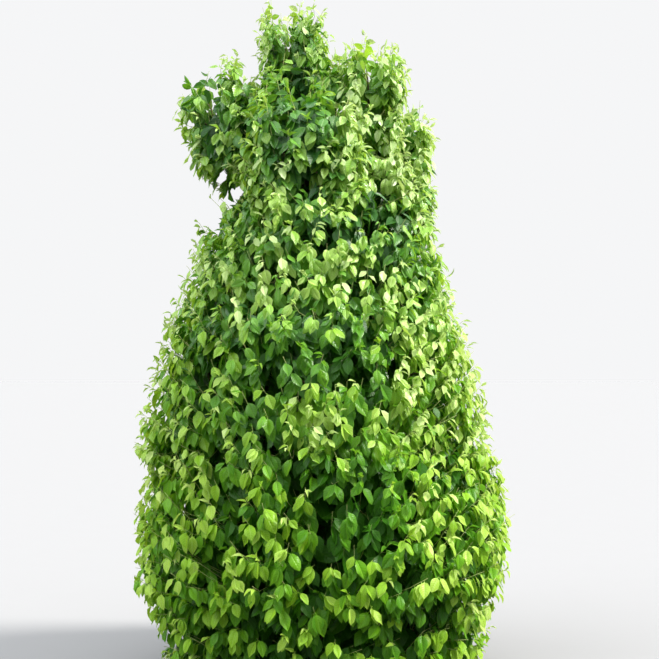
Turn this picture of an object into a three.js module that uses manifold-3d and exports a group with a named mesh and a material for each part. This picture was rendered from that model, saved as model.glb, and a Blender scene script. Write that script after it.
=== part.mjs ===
// A columnar hornbeam about 3.6 m tall, clad in leaves from its several heads to the ground.
// Millimetres, +Z up. The origin is the centre of the trunk's flat cut at ground level,
// +X is the viewer's right and -Y is towards the viewer.
import * as THREE from "three";
import { mergeVertices } from "three/addons/utils/BufferGeometryUtils.js";
import Module from "manifold-3d";

const wasm = await Module();
wasm.setup();

// Driving dimensions
const CLEARANCE = 0.3; // between two solids that meet
const LOWEST_TIP = 25; // no leaf hangs lower than this
const TRUNK = { height: 2985, foot: 52, tip: 6, sides: 12, rings: 12, lean: -150 };
const SWAY = { x: 14, xWaves: 9, y: 16, yWaves: 6 }; // how the trunk wanders off its lean
const FLARE = { width: 34, height: 95, ribs: 5, furrow: 0.38 };
const BOUGH = { sides: 5, steps: 3, tip: 9, foot: 8, footShare: 0.22, climb: 330, stagger: 34 };
const HEAD_BOUGH = { foot: 12, gather: 0.86, below: 22 };
const STEM_TURN = 40; // how far a mass's stem runs straight on from its bough

// Half the crown's width at heights above the ground, to the leaf tips
const OUTLINE = [
  [60, 860],
  [340, 965],
  [590, 1045],
  [870, 1045],
  [1290, 955],
  [1560, 920],
  [1850, 840],
  [1970, 775],
  [2540, 610],
];

// The clad body: rings of foliage masses, each centred a little off the trunk's foot
const TIERS = [
  { name: "skirt", low: 60, high: 560, shift: -5, turn: 54 },
  { name: "waist", low: 560, high: 1200, shift: 5, turn: 18 },
  { name: "breast", low: 1200, high: 1850, shift: -30, turn: 54 },
  { name: "shoulder", low: 1850, high: 2540, shift: -30, turn: 36 },
];
const MASSES_IN_A_TIER = 5;
const VALLEY = 0.07; // how far the outline falls back between two masses of a tier
const CORE = { inner: 0.5, outer: 0.8, fill: 0.92, tall: 0.98, boxy: 0.58, across: 6, down: 5 };

// The heads above the neck: centre, half sizes, and where the bough leaves the trunk
const HEADS = [
  { name: "left", at: [-558, -20, 2960], half: [238, 250, 385], fork: 2190 },
  { name: "front", at: [-90, -285, 2810], half: [345, 285, 430], fork: 2330 },
  { name: "right", at: [272, -95, 3090], half: [205, 240, 335], fork: 2400 },
  { name: "far_right", at: [447, 70, 2755], half: [190, 260, 385], fork: 2100 },
  { name: "back", at: [-80, 300, 2820], half: [355, 285, 440], fork: 2260 },
  { name: "spire", at: [-155, -10, 3270], half: [205, 215, 355], fork: null },
];
const HEAD_CORE = { share: 0.68, boxy: 0.8 };

// One spray: a twig with a leaf at its tip and a pair of leaves below it
const BODY_SPRAY = { leaf: 325, rise: 280, across: 425, twig: 8, pair: 62 };
const HEAD_SPRAY = { leaf: 225, area: 74000, twig: 6.5, pair: 50 };
const ROW = { seat: 0.7, stagger: 0.68, lift: 20, tilt: 0.12 };
const SPIRAL = { start: 0.05, depth: 1.8 };
const BURIED = { inHead: 0.86, inBody: 0.75, neck: 60 };
const LEAF = { width: 0.68, widest: 0.48, dome: 0.07, droop: 0.1 };
const HANG = { out: 0.28, down: 0.9, pair: 0.78, gather: 0.4, reach: 0.8 };
const TWIG_TAPER = 0.55;
const ROOT = 0.6; // how deep a leaf's root is sunk, in twig radii
const TRIMS = [1, 0.82]; // a leaf that would touch another is tried again a size smaller
const WANDER = { turn: 0.35, length: 0.2, across: 0.1, rise: 50, spiral: 0.4 };

const COLOURS = { bark: 0x77736a, leaf: 0x5f9a2c, light: 0x86b53a };

// A closed geometry as a solid
function solidOf(geometry) {
  geometry.deleteAttribute("normal");
  geometry.deleteAttribute("uv");
  const merged = mergeVertices(geometry, 1e-3);
  const mesh = new wasm.Mesh({
    numProp: 3,
    vertProperties: merged.attributes.position.array,
    triVerts: new Uint32Array(merged.index.array),
  });
  return new wasm.Manifold(mesh);
}

function geometryOf(solid) {
  const mesh = solid.getMesh();
  const geometry = new THREE.BufferGeometry();
  geometry.setAttribute("position", new THREE.BufferAttribute(mesh.vertProperties, 3));
  geometry.setIndex(new THREE.BufferAttribute(mesh.triVerts, 1));
  geometry.computeVertexNormals();
  return geometry;
}

// A solid through rings of points that all have the same number of sides
function ringsSolid(rings) {
  const sides = rings[0].length;
  const last = (rings.length - 1) * sides;
  const index = [];
  for (let side = 0; side < sides; side++) {
    const next = (side + 1) % sides;
    for (let ring = 0; ring + 1 < rings.length; ring++) {
      const [a, b] = [ring * sides + side, ring * sides + next];
      const [c, d] = [a + sides, b + sides];
      index.push(a, b, d, a, d, c);
    }
  }
  for (let side = 1; side + 1 < sides; side++) {
    index.push(0, side + 1, side, last, last + side, last + side + 1);
  }
  const geometry = new THREE.BufferGeometry().setFromPoints(rings.flat());
  geometry.setIndex(index);
  return solidOf(geometry);
}

// A limb that tapers from one radius to another along a curve
function limb(curve, foot, tip, sides, steps) {
  const frames = curve.computeFrenetFrames(steps, false);
  const rings = [];
  for (let step = 0; step <= steps; step++) {
    const centre = curve.getPoint(step / steps);
    const radius = THREE.MathUtils.lerp(foot, tip, step / steps);
    const ring = [];
    for (let side = 0; side < sides; side++) {
      const angle = (side / sides) * 2 * Math.PI;
      ring.push(
        centre
          .clone()
          .addScaledVector(frames.normals[step], radius * Math.cos(angle))
          .addScaledVector(frames.binormals[step], radius * Math.sin(angle)),
      );
    }
    rings.push(ring);
  }
  return ringsSolid(rings);
}

// A seeded number from 0 to 1 for a place in the tree
function chance(seed, draw) {
  const wave = Math.sin(seed * 12.9898 + draw * 78.233) * 43758.5453;
  return wave - Math.floor(wave);
}

// The trunk's centre at a height: it leans to the left head's side and sways a little
function trunkAt(z) {
  const share = z / TRUNK.height;
  const x = TRUNK.lean * share ** 1.2 + SWAY.x * Math.sin(share * SWAY.xWaves);
  return new THREE.Vector3(x, SWAY.y * Math.sin(share * SWAY.yWaves), z);
}

function trunkRadius(z) {
  return TRUNK.tip + (TRUNK.foot - TRUNK.tip) * (1 - z / TRUNK.height) ** 0.85;
}

// The trunk from its flat cut to its tip, with a ribbed root flare, or grown by a clearance
function trunkSolid(grown) {
  const rings = [];
  for (let ring = 0; ring <= TRUNK.rings; ring++) {
    const z = TRUNK.height * (ring / TRUNK.rings) ** 1.5;
    const ringPoints = [];
    for (let side = 0; side < TRUNK.sides; side++) {
      const angle = (side / TRUNK.sides) * 2 * Math.PI;
      const rib = 1 - FLARE.furrow * (1 - Math.cos(FLARE.ribs * angle));
      const flare = FLARE.width * rib * Math.exp(-z / FLARE.height);
      const radius = trunkRadius(z) + flare + grown;
      const out = new THREE.Vector3(Math.cos(angle) * radius, Math.sin(angle) * radius, 0);
      ringPoints.push(trunkAt(z).add(out));
    }
    rings.push(ringPoints);
  }
  return ringsSolid(rings);
}

// Half the crown's width at a height
function outline(z) {
  const above = OUTLINE.findIndex(([height]) => height > z);
  if (above === 0) return OUTLINE[0][1];
  if (above < 0) return OUTLINE.at(-1)[1];
  const [low, high] = [OUTLINE[above - 1], OUTLINE[above]];
  return THREE.MathUtils.mapLinear(z, low[0], high[0], low[1], high[1]);
}

// A mass of a tier: place() takes it from a unit ball to its block of the crown
function tierMass(tier, number) {
  const halfTurn = Math.PI / MASSES_IN_A_TIER;
  const middle = THREE.MathUtils.degToRad(tier.turn) + 2 * halfTurn * number;
  const centre = (tier.low + tier.high) / 2;
  const halfHeight = (tier.high - tier.low) / 2;
  const polar = (across, z, share) => {
    const radius = outline(z) * (1 - VALLEY * across ** 2) * share;
    const angle = middle + across * halfTurn;
    return new THREE.Vector3(
      tier.shift + Math.cos(angle) * radius,
      Math.sin(angle) * radius,
      z,
    );
  };
  const place = (across, outward, up) => {
    const share = (CORE.inner + CORE.outer + (CORE.outer - CORE.inner) * outward) / 2;
    return polar(across * CORE.fill, centre + up * CORE.tall * halfHeight, share);
  };
  return { name: `${tier.name}_${number + 1}`, place, polar, tier, middle, halfTurn };
}

// A head: an upright ball
function headMass(head) {
  const place = (across, outward, up) =>
    new THREE.Vector3(
      head.at[0] + across * head.half[0] * HEAD_CORE.share,
      head.at[1] + outward * head.half[1] * HEAD_CORE.share,
      head.at[2] + up * head.half[2] * HEAD_CORE.share,
    );
  return { name: `head_${head.name}`, place, head };
}

// Squares a unit ball up towards a box: 1 leaves it round
function squared(value, boxy) {
  return Math.sign(value) * Math.abs(value) ** boxy;
}

// The dense middle of a mass, as a ball that is squared up and then placed
function coreSolid(mass, boxy) {
  const ball = new THREE.SphereGeometry(1, CORE.across, CORE.down);
  ball.rotateX(Math.PI / 2);
  const at = ball.attributes.position;
  for (let i = 0; i < at.count; i++) {
    const [x, y, z] = [at.getX(i), at.getY(i), at.getZ(i)].map((v) => squared(v, boxy));
    const placed = mass.place(x, y, z);
    at.setXYZ(i, placed.x, placed.y, placed.z);
  }
  const solid = solidOf(ball);
  if (solid.volume() > 0) return solid;
  const turned = ball.index.array;
  for (let i = 0; i < turned.length; i += 3) {
    [turned[i], turned[i + 1]] = [turned[i + 1], turned[i]];
  }
  return solidOf(ball);
}

// A leaf from its root along a direction, its upper face towards the sky side
function leafSolid(root, along, sky, length) {
  const face = sky.clone().addScaledVector(along, -sky.dot(along)).normalize();
  const side = new THREE.Vector3().crossVectors(face, along);
  const half = LEAF.width / 2;
  const corners = [
    [0, 0, 0],
    [LEAF.widest, -half, 0],
    [1, 0, -LEAF.droop],
    [LEAF.widest, half, 0],
    [LEAF.widest, 0, LEAF.dome],
  ].map((c) => new THREE.Vector3(...c));
  const geometry = new THREE.BufferGeometry().setFromPoints(corners);
  geometry.setIndex([0, 1, 4, 1, 2, 4, 2, 3, 4, 3, 0, 4, 1, 0, 3, 2, 1, 3]);
  const frame = new THREE.Matrix4().makeBasis(along, side, face);
  geometry.applyMatrix4(frame.scale(new THREE.Vector3(length, length, length)));
  geometry.translate(root.x, root.y, root.z);
  return solidOf(geometry);
}

// Solids already in place, found again by their boxes
const placed = [];

function clearOfOthers(solid, spray, mass) {
  const box = solid.boundingBox();
  return placed.every((other) => {
    if (other.spray === spray || (other.core && other.mass === mass)) return true;
    const apart = [0, 1, 2].some(
      (k) => other.box.min[k] > box.max[k] || other.box.max[k] < box.min[k],
    );
    return apart || solid.intersect(other.solid).isEmpty();
  });
}

function occupy(solid, spray, mass, core = false) {
  placed.push({ solid, spray, mass, core, box: solid.boundingBox() });
}

// A leaf's direction: it hangs tip down on the crown's sides and stands up at a head's top
function hang(outward, sideways) {
  const level = new THREE.Vector3(outward.x, outward.y, 0).normalize();
  const across = new THREE.Vector3(-level.y, level.x, 0);
  const top = Math.max(outward.z, 0) ** 2;
  return level
    .multiplyScalar(HANG.out)
    .addScaledVector(across, sideways * (1 - HANG.gather * top))
    .add(new THREE.Vector3(0, 0, THREE.MathUtils.lerp(-HANG.down, HANG.down, top)))
    .normalize();
}

// A spray in a mass: returns its solids, or none where it would touch something
function spraySolids(mass, number, from, to, outward, size) {
  const seed = number + 17 * (masses.indexOf(mass) + 1);
  const spray = `${mass.name} ${number}`;
  const path = new THREE.LineCurve3(from, to);
  const twig = limb(path, size.twig, size.twig * TWIG_TAPER, 3, 1);
  if (!clearOfOthers(twig, spray, mass)) return [];
  const solids = [twig];
  const sky = outward.clone().multiplyScalar(0.9).add(new THREE.Vector3(0, 0, 0.75));
  const grain = path.getTangent(0);
  for (const [order, sideways] of [0, HANG.pair, -HANG.pair].entries()) {
    const along = hang(outward, sideways + WANDER.turn * (chance(seed, order) - 0.5));
    const length = size.leaf * (1 + WANDER.length * (chance(seed, order + 5) - 0.5));
    const back = order === 0 ? size.twig * ROOT : size.pair;
    const root = to.clone().addScaledVector(grain, -back);
    for (const trim of TRIMS) {
      const leaf = leafSolid(root, along, sky, length * trim);
      if (leaf.boundingBox().min[2] > LOWEST_TIP && clearOfOthers(leaf, spray, mass)) {
        solids.push(leaf);
        break;
      }
    }
  }
  if (solids.length === 1) return [];
  solids.forEach((solid) => occupy(solid, spray, mass));
  return solids;
}

// Sprays of a tier's mass: staggered rows over its outer face
function tierSprays(mass) {
  const { tier, polar, middle, halfTurn } = mass;
  const height = tier.high - tier.low;
  const drop = BODY_SPRAY.leaf * HANG.reach;
  const rows = Math.round(height / BODY_SPRAY.rise);
  const solids = [];
  let number = 0;
  for (let row = 0; row < rows; row++) {
    const rowHeight = tier.low + ((row + ROW.seat) / rows) * height;
    const columns = Math.round((outline(rowHeight) * 2 * halfTurn) / BODY_SPRAY.across);
    for (let column = 0; column < columns; column++) {
      number += 1;
      const place = column + (row % 2 ? 1 - ROW.stagger : ROW.stagger);
      const across = (place / columns) * 2 - 1 + WANDER.across * (chance(number, 1) - 0.5);
      const lowest = drop + LOWEST_TIP + ROW.lift;
      const z = Math.max(rowHeight + WANDER.rise * (chance(number, 2) - 0.5), lowest);
      const widest = Math.min(outline(z), outline(z - drop) - HANG.out * BODY_SPRAY.leaf);
      const to = polar(across, z, widest / outline(z));
      const up = (z - (tier.low + tier.high) / 2) / height;
      const from = mass.place(across * 0.6, 0.1, up * 1.1);
      const angle = middle + across * halfTurn;
      const outward = new THREE.Vector3(Math.cos(angle), Math.sin(angle), ROW.tilt).normalize();
      solids.push(...spraySolids(mass, number, from, to, outward, BODY_SPRAY));
    }
  }
  return solids;
}

function insideHead(point, head) {
  const share = [point.x, point.y, point.z].map((v, k) => (v - head.at[k]) / head.half[k]);
  return Math.hypot(...share) < BURIED.inHead;
}

function buried(point, head) {
  const inBody = Math.hypot(point.x, point.y) < outline(point.z) * BURIED.inBody;
  const inOther = HEADS.some((other) => other !== head && insideHead(point, other));
  return inOther || (inBody && point.z < TIERS.at(-1).high - BURIED.neck);
}

// Sprays of a head: a spiral of even steps over the squared ball, from its top downwards
function headSprays(mass) {
  const { head } = mass;
  const [a, b, c] = head.half;
  const area = 4 * Math.PI * ((2 * (a * c) ** 1.6 + (a * b) ** 1.6) / 3) ** (1 / 1.6);
  const count = Math.round(area / HEAD_SPRAY.area);
  const side = 1 - (0.2 * HEAD_SPRAY.leaf) / ((a + b) / 2);
  const crest = 1 - (0.85 * HEAD_SPRAY.leaf) / c;
  const golden = Math.PI * (3 - Math.sqrt(5));
  const solids = [];
  for (let number = 0; number < count; number++) {
    const up = 1 - (SPIRAL.depth * (number + SPIRAL.start)) / count;
    const level = Math.sqrt(1 - up * up);
    const angle = number * golden + WANDER.spiral * (chance(number, 3) - 0.5);
    const outward = new THREE.Vector3(Math.cos(angle) * level, Math.sin(angle) * level, up);
    const [x, y, z] = outward.toArray().map((v) => squared(v, HEAD_CORE.boxy));
    const rise = THREE.MathUtils.lerp(side, crest, Math.max(up, 0) ** 2);
    const to = new THREE.Vector3(...head.at);
    to.add(new THREE.Vector3(x * a * side, y * b * side, z * c * rise));
    if (buried(to, head)) continue;
    const from = mass.place(outward.x * 0.45, outward.y * 0.45, up * 0.6 - 0.15);
    solids.push(...spraySolids(mass, number, from, to, outward, HEAD_SPRAY));
  }
  return solids;
}

// The curve of a mass's bough, from inside the trunk to the place where the mass's stem begins
function boughPath(mass) {
  if (mass.head) {
    const [x, y, z] = mass.head.at;
    const below = z - mass.head.half[2] * HEAD_CORE.share - HEAD_BOUGH.below;
    const fork = trunkAt(mass.head.fork);
    const tip = new THREE.Vector3(x * HEAD_BOUGH.gather, y * HEAD_BOUGH.gather, below);
    const bend = fork.clone().lerp(tip, 0.25);
    bend.z = THREE.MathUtils.lerp(fork.z, tip.z, 0.72);
    return new THREE.QuadraticBezierCurve3(fork, bend, tip);
  }
  const { tier, polar } = mass;
  const centre = (tier.low + tier.high) / 2;
  const climb = Math.min(BOUGH.climb, centre - 130);
  const order = masses.indexOf(mass) % MASSES_IN_A_TIER;
  const fork = trunkAt(centre - climb + BOUGH.stagger * (((order * 2) % MASSES_IN_A_TIER) - 2));
  const tip = polar(0, centre - 20, CORE.inner - 0.065);
  const bend = fork.clone().lerp(tip, 0.4);
  bend.z = THREE.MathUtils.lerp(fork.z, tip.z, 0.75);
  return new THREE.QuadraticBezierCurve3(fork, bend, tip);
}

// A mass's stem: it goes on from its bough's tip, 0.3 mm clear of it, and turns into the core
function stemSolid(mass, path, foot) {
  const heading = path.getTangent(1);
  const start = path.getPoint(1).addScaledVector(heading, CLEARANCE);
  const turn = start.clone().addScaledVector(heading, STEM_TURN);
  const curve = new THREE.QuadraticBezierCurve3(start, turn, mass.place(0, 0, 0));
  return limb(curve, foot, foot * 0.5, BOUGH.sides, 2);
}

const tree = new THREE.Group();

function addNode(name, solid, colour) {
  const material = new THREE.MeshStandardMaterial({ color: colour, roughness: 0.8 });
  const mesh = new THREE.Mesh(geometryOf(solid), material);
  mesh.name = name;
  tree.add(mesh);
}

const masses = [
  ...TIERS.flatMap((tier) =>
    Array.from({ length: MASSES_IN_A_TIER }, (_, number) => tierMass(tier, number)),
  ),
  ...HEADS.map(headMass),
];

const trunk = trunkSolid(0);
const trunkGap = trunkSolid(CLEARANCE);
occupy(trunk, "trunk", null);
addNode("trunk", trunk, COLOURS.bark);

for (const mass of masses) {
  mass.core = coreSolid(mass, mass.head ? HEAD_CORE.boxy : CORE.boxy).subtract(trunkGap);
  occupy(mass.core, "core", mass, true);
}

for (const mass of masses) {
  if (mass.head?.fork === null) {
    const tip = trunkAt(TRUNK.height);
    mass.stem = stemSolid(mass, new THREE.LineCurve3(tip.clone().setZ(0), tip), TRUNK.tip);
    continue;
  }
  const path = boughPath(mass);
  const foot = mass.head
    ? HEAD_BOUGH.foot
    : BOUGH.foot + BOUGH.footShare * trunkRadius(path.v0.z);
  const bough = limb(path, foot, BOUGH.tip, BOUGH.sides, BOUGH.steps).subtract(trunkGap);
  occupy(bough, `bough ${mass.name}`, null);
  addNode(`bough_${mass.name}`, bough, COLOURS.bark);
  mass.stem = stemSolid(mass, path, BOUGH.tip);
}

for (const mass of masses) {
  const sprays = mass.head ? headSprays(mass) : tierSprays(mass);
  const joined = wasm.Manifold.union([mass.core, mass.stem, ...sprays]);
  const [body] = joined.decompose().sort((p, q) => q.volume() - p.volume());
  addNode(`foliage_${mass.name}`, body, mass.head ? COLOURS.light : COLOURS.leaf);
}

export default tree;
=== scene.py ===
import math

import bmesh
import bpy
import numpy as np
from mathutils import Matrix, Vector


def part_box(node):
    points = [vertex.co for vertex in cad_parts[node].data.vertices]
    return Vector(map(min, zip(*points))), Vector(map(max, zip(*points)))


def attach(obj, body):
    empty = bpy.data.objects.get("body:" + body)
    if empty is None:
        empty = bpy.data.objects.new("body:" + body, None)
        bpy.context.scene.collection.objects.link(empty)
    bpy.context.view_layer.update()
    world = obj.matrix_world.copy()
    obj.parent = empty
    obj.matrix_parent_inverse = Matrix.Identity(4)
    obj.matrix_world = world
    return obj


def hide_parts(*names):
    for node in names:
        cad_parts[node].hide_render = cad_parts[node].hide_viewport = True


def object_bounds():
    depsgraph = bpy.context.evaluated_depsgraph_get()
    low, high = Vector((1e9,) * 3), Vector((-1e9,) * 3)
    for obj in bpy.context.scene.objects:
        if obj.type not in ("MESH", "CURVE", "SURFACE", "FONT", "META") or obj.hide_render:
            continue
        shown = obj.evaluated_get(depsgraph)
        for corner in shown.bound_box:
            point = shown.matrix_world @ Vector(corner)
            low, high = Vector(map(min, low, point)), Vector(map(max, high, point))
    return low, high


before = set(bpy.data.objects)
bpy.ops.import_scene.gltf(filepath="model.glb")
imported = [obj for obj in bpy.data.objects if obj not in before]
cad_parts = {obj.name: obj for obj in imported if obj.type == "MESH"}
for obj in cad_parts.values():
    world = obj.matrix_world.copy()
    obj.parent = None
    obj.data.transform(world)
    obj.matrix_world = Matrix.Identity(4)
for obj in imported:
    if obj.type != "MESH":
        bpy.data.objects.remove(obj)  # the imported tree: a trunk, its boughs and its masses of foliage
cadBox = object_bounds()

# Camera: at eye height, looking a little up at the crown
cameraSettings = {"place": (0.041, -6.0, 1.6), "tiltUp": 2.4, "lens": 60.1, "sensor": 36.0}


def newObject(name, data):
    made = bpy.data.objects.new(name, data)
    bpy.context.scene.collection.objects.link(made)
    return made


cameraData = bpy.data.cameras.new("camera")
cameraData.lens = cameraSettings["lens"]
cameraData.sensor_width = cameraSettings["sensor"]
camera = newObject("camera", cameraData)
camera.location = cameraSettings["place"]
camera.rotation_euler = (math.radians(90 + cameraSettings["tiltUp"]), 0, 0)
bpy.context.scene.camera = camera
print("camera in place")

# The crown as the frame has it, in metres: half its width at heights, its rings of masses, its heads
crown = {
    "outline": [(0.06, 0.85), (0.34, 0.950), (0.59, 1.045), (0.87, 1.055), (1.29, 0.955),
                (1.56, 0.92), (1.85, 0.84), (1.97, 0.775), (2.54, 0.61)],
    "tiers": [  # name, low, high, shift along X, turn of the first mass in degrees
        ("skirt", 0.06, 0.56, -0.005, 54),
        ("waist", 0.56, 1.20, 0.005, 18),
        ("breast", 1.20, 1.85, -0.03, 54),
        ("shoulder", 1.85, 2.54, -0.018, 36),
    ],
    "heads": [  # name, centre, half sizes, height where the bough leaves the trunk
        ("left", (-0.558, -0.02, 2.955), (0.238, 0.25, 0.395), 2.19),
        ("front", (-0.09, -0.285, 2.77), (0.345, 0.285, 0.38), 2.33),
        ("right", (0.272, -0.095, 3.09), (0.205, 0.24, 0.335), 2.40),
        ("far_right", (0.447, 0.07, 2.755), (0.19, 0.26, 0.385), 2.10),
        ("back", (-0.08, 0.30, 2.82), (0.355, 0.285, 0.44), 2.26),
        ("spire", (-0.165, -0.01, 3.28), (0.190, 0.205, 0.36), None),
    ],
    "massesInATier": 5,
    "valley": 0.07,  # how far the outline falls back between two masses
    "coreInner": 0.5, "coreOuter": 0.8, "headCore": 0.68,  # where a mass's stem begins and ends
    "headClear": 0.8, "fillerClear": 0.7,  # how much of a ball of leaves no other ball's shoots end in
    "bodyClear": 0.8, "bodyTop": 0.06, "bodyShift": 0.03,
    "topFrom": 3.05, "topMost": 0.5, "topSmaller": 0.6,  # smaller and paler leaves from this height up
}
headShapes = {  # how square above and below, how far the foot is drawn in, how far the leaves reach past
    # a shoot's tip, and how ragged the top is; a head without a value has the first row's
    "any": {"boxy": 0.8, "boxyBelow": 0.55, "tuck": 0, "reach": 0.012, "topRagged": 0.09},
    "left": {"boxy": 0.62, "boxyBelow": 0.85, "tuck": 0.15, "topRagged": 0.06},
    "right": {"boxy": 0.55, "topRagged": 0.05},
    "spire": {"boxy": 0.35, "boxyBelow": 0.35, "reach": -0.01, "topRagged": 0.03},
    "far_right": {"boxy": 0.65, "boxyBelow": 0.45},
}
fillers = [  # centre and half sizes of the balls of leaves that close up the crown between its heads
    ((-0.01, -0.04, 2.76), (0.50, 0.40, 0.42)),
    ((0.10, -0.03, 3.08), (0.23, 0.24, 0.27)),
    ((-0.35, -0.03, 2.98), (0.24, 0.26, 0.25)),
    ((-0.06, -0.36, 2.62), (0.34, 0.20, 0.28)),
    ((-0.13, -0.10, 3.08), (0.22, 0.20, 0.30)),
    ((0.33, -0.05, 2.66), (0.20, 0.24, 0.22)),
    ((-0.05, -0.40, 2.75), (0.16, 0.15, 0.17)),
    ((0.45, 0.02, 2.53), (0.19, 0.30, 0.17)),
    ((0.03, -0.04, 3.22), (0.13, 0.16, 0.16)),
    ((-0.36, -0.03, 3.11), (0.12, 0.16, 0.13)),
    ((-0.51, -0.02, 3.26), (0.06, 0.07, 0.10)),
    ((-0.165, -0.02, 3.38), (0.13, 0.14, 0.21)),
    ((0.27, -0.04, 3.12), (0.14, 0.17, 0.24)),
    ((-0.10, 0.37, 2.64), (0.26, 0.20, 0.24)),
]
darkFillers = [  # and of the balls of large dark leaves deep inside them
    ((0.28, 0.10, 2.66), (0.24, 0.17, 0.34)),
    ((-0.25, 0.10, 2.74), (0.26, 0.17, 0.30)),
    ((-0.16, 0.02, 3.20), (0.10, 0.10, 0.26)),
]

heights, halfWidths = (np.array(column) for column in zip(*crown["outline"]))
halfTurn = math.pi / crown["massesInATier"]
upward = np.array([0.0, 0.0, 1.0])


def outline(z):
    return np.interp(z, heights, halfWidths)


def unit(vectors):
    return vectors / np.maximum(np.linalg.norm(vectors, axis=-1, keepdims=True), 1e-9)


def anglesRound(sides):
    return np.arange(sides) / sides * 2 * math.pi


def lumps(points):
    # a slow swell from place to place, from -1 to 1
    x, y, z = points[..., 0], points[..., 1], points[..., 2]
    wide = np.sin(4.1 * x + 1.3 * z + 0.4) * np.sin(3.7 * y - 2.2 * z + 1.1)
    return 0.6 * wide + 0.4 * np.sin(9.3 * z + 5.2 * x - 4.4 * y)


# Trunk and boughs: grey fluted bark over the true taper, lean and root flare
trunk = {
    "height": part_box("trunk")[1].z, "foot": 0.052, "tip": 0.006, "taper": 0.85,
    "lean": -0.15, "leanPower": 1.2, "swayX": 0.014, "wavesX": 9, "swayY": 0.016, "wavesY": 6,
    "flare": 0.034, "flareHeight": 0.095, "ribs": 5, "furrow": 0.38, "plainFoot": 0.1,
    "around": 48, "along": 220, "spacing": 1.5,  # its rings stand closer towards the foot
}
bough = {
    "foot": 0.008, "footShare": 0.22, "tip": 0.009, "climb": 0.33, "stagger": 0.034,
    "lowest": 0.13, "below": 0.02, "short": 0.065, "lean": 0.4, "rise": 0.75,
    "headFoot": 0.012, "gather": 0.86, "headBelow": 0.022, "headLean": 0.25, "headRise": 0.72,
    "collar": 0.6, "collarLength": 0.05, "around": 14, "along": 40,
}
relief = {  # the bark's flutes, strands and knots: how high, and how many round or along the limb
    "flutes": 0.07, "flutesRound": 5, "twist": 2.2, "strands": 0.03, "strandsRound": 13,
    "knots": 0.04, "knotsAlong": 7, "knotSharpness": 8,
}


def trunkAt(z):
    share = np.asarray(z, float) / trunk["height"]
    x = trunk["lean"] * share ** trunk["leanPower"] + trunk["swayX"] * np.sin(share * trunk["wavesX"])
    y = trunk["swayY"] * np.sin(share * trunk["wavesY"])
    return np.stack([x, y, np.asarray(z, float)], -1)


def trunkRadius(z):
    taper = np.clip(1 - np.asarray(z, float) / trunk["height"], 0, 1) ** trunk["taper"]
    return trunk["tip"] + (trunk["foot"] - trunk["tip"]) * taper


def trunkSkin(angle, share):
    z = trunk["height"] * share ** trunk["spacing"]
    rib = 1 - trunk["furrow"] * (1 - np.cos(trunk["ribs"] * angle))
    flare = trunk["flare"] * rib * np.exp(-z / trunk["flareHeight"])
    return z, trunkRadius(z) + flare


def barkSwell(angle, length, radius):
    # flutes that wind slowly round the limb, finer strands and a few knots
    flutes = np.sin(relief["flutesRound"] * angle + relief["twist"] * length + 0.8 * np.sin(3 * length))
    strands = np.sin(relief["strandsRound"] * angle - 3.1 * length) * np.sin(9 * length + 2 * angle)
    knots = np.sin(relief["knotsAlong"] * length + 2 * np.sin(2 * angle))
    knots = np.maximum(knots, 0) ** relief["knotSharpness"]
    swell = relief["flutes"] * flutes + relief["strands"] * strands + relief["knots"] * knots
    return radius * swell


def limbMesh(bm, centres, frames, radii, around, lengths):
    # a grid rolled up round a line of centres, its seam merged and its ends closed
    along = len(centres) - 1
    grid = bmesh.ops.create_grid(bm, x_segments=around, y_segments=along, size=0.5)["verts"]
    place = bm.verts.layers.float_vector.get("barkPlace")
    flat = np.array([v.co for v in grid])
    step = np.rint((flat[:, 1] + 0.5) * along).astype(int)
    side = np.rint((flat[:, 0] + 0.5) * around).astype(int) % around
    angle = side / around * 2 * math.pi
    radius = radii[step, side]
    normal, binormal = frames
    spoke = normal[step] * np.cos(angle)[:, None] + binormal[step] * np.sin(angle)[:, None]
    points = centres[step] + spoke * radius[:, None]
    turned = np.stack([np.cos(angle) * radius, np.sin(angle) * radius, lengths[step]], 1)
    for v, point, straight in zip(grid, points, turned):
        v.co = point
        v[place] = straight
    bmesh.ops.remove_doubles(bm, verts=grid, dist=1e-6)
    rims = [e for e in bm.edges if e.is_boundary]
    bmesh.ops.holes_fill(bm, edges=rims, sides=0)


def framesAlong(points):
    # two ways across each limb at every point of its line
    tangents = unit(np.gradient(points, axis=-2))
    chord = unit(points[..., -1, :] - points[..., 0, :])
    upright = np.abs(chord[..., 2:]) > 0.9
    guide = np.where(upright, np.array([1.0, 0.0, 0.0]), upward)
    normals = unit(np.cross(tangents, guide[..., None, :]))
    return normals, np.cross(tangents, normals)


def bezier(points, shares):
    # the curve of two or more control points at shares of its way, worked down in pairs
    shares = np.asarray(shares, float)[..., None]
    level = [np.asarray(p, float)[..., None, :] for p in points]
    while len(level) > 1:
        level = [a * (1 - shares) + b * shares for a, b in zip(level, level[1:])]
    return level[0]


def meshFrom(name, bm):
    bmesh.ops.recalc_face_normals(bm, faces=bm.faces)
    mesh = bpy.data.meshes.new(name)
    bm.to_mesh(mesh)
    bm.free()
    mesh.shade_smooth()
    return mesh


def newPiece(name, mesh, material):
    mesh.materials.append(material)
    return newObject(name, mesh)


def finishPiece(name, mesh, material, nodes):
    piece = newPiece(name, mesh, material)
    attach(piece, "root")
    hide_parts(*nodes)


# Materials
def newMaterial(name):
    material = bpy.data.materials.new(name)
    material.use_nodes = True
    material.node_tree.nodes.clear()
    return material, material.node_tree


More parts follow.
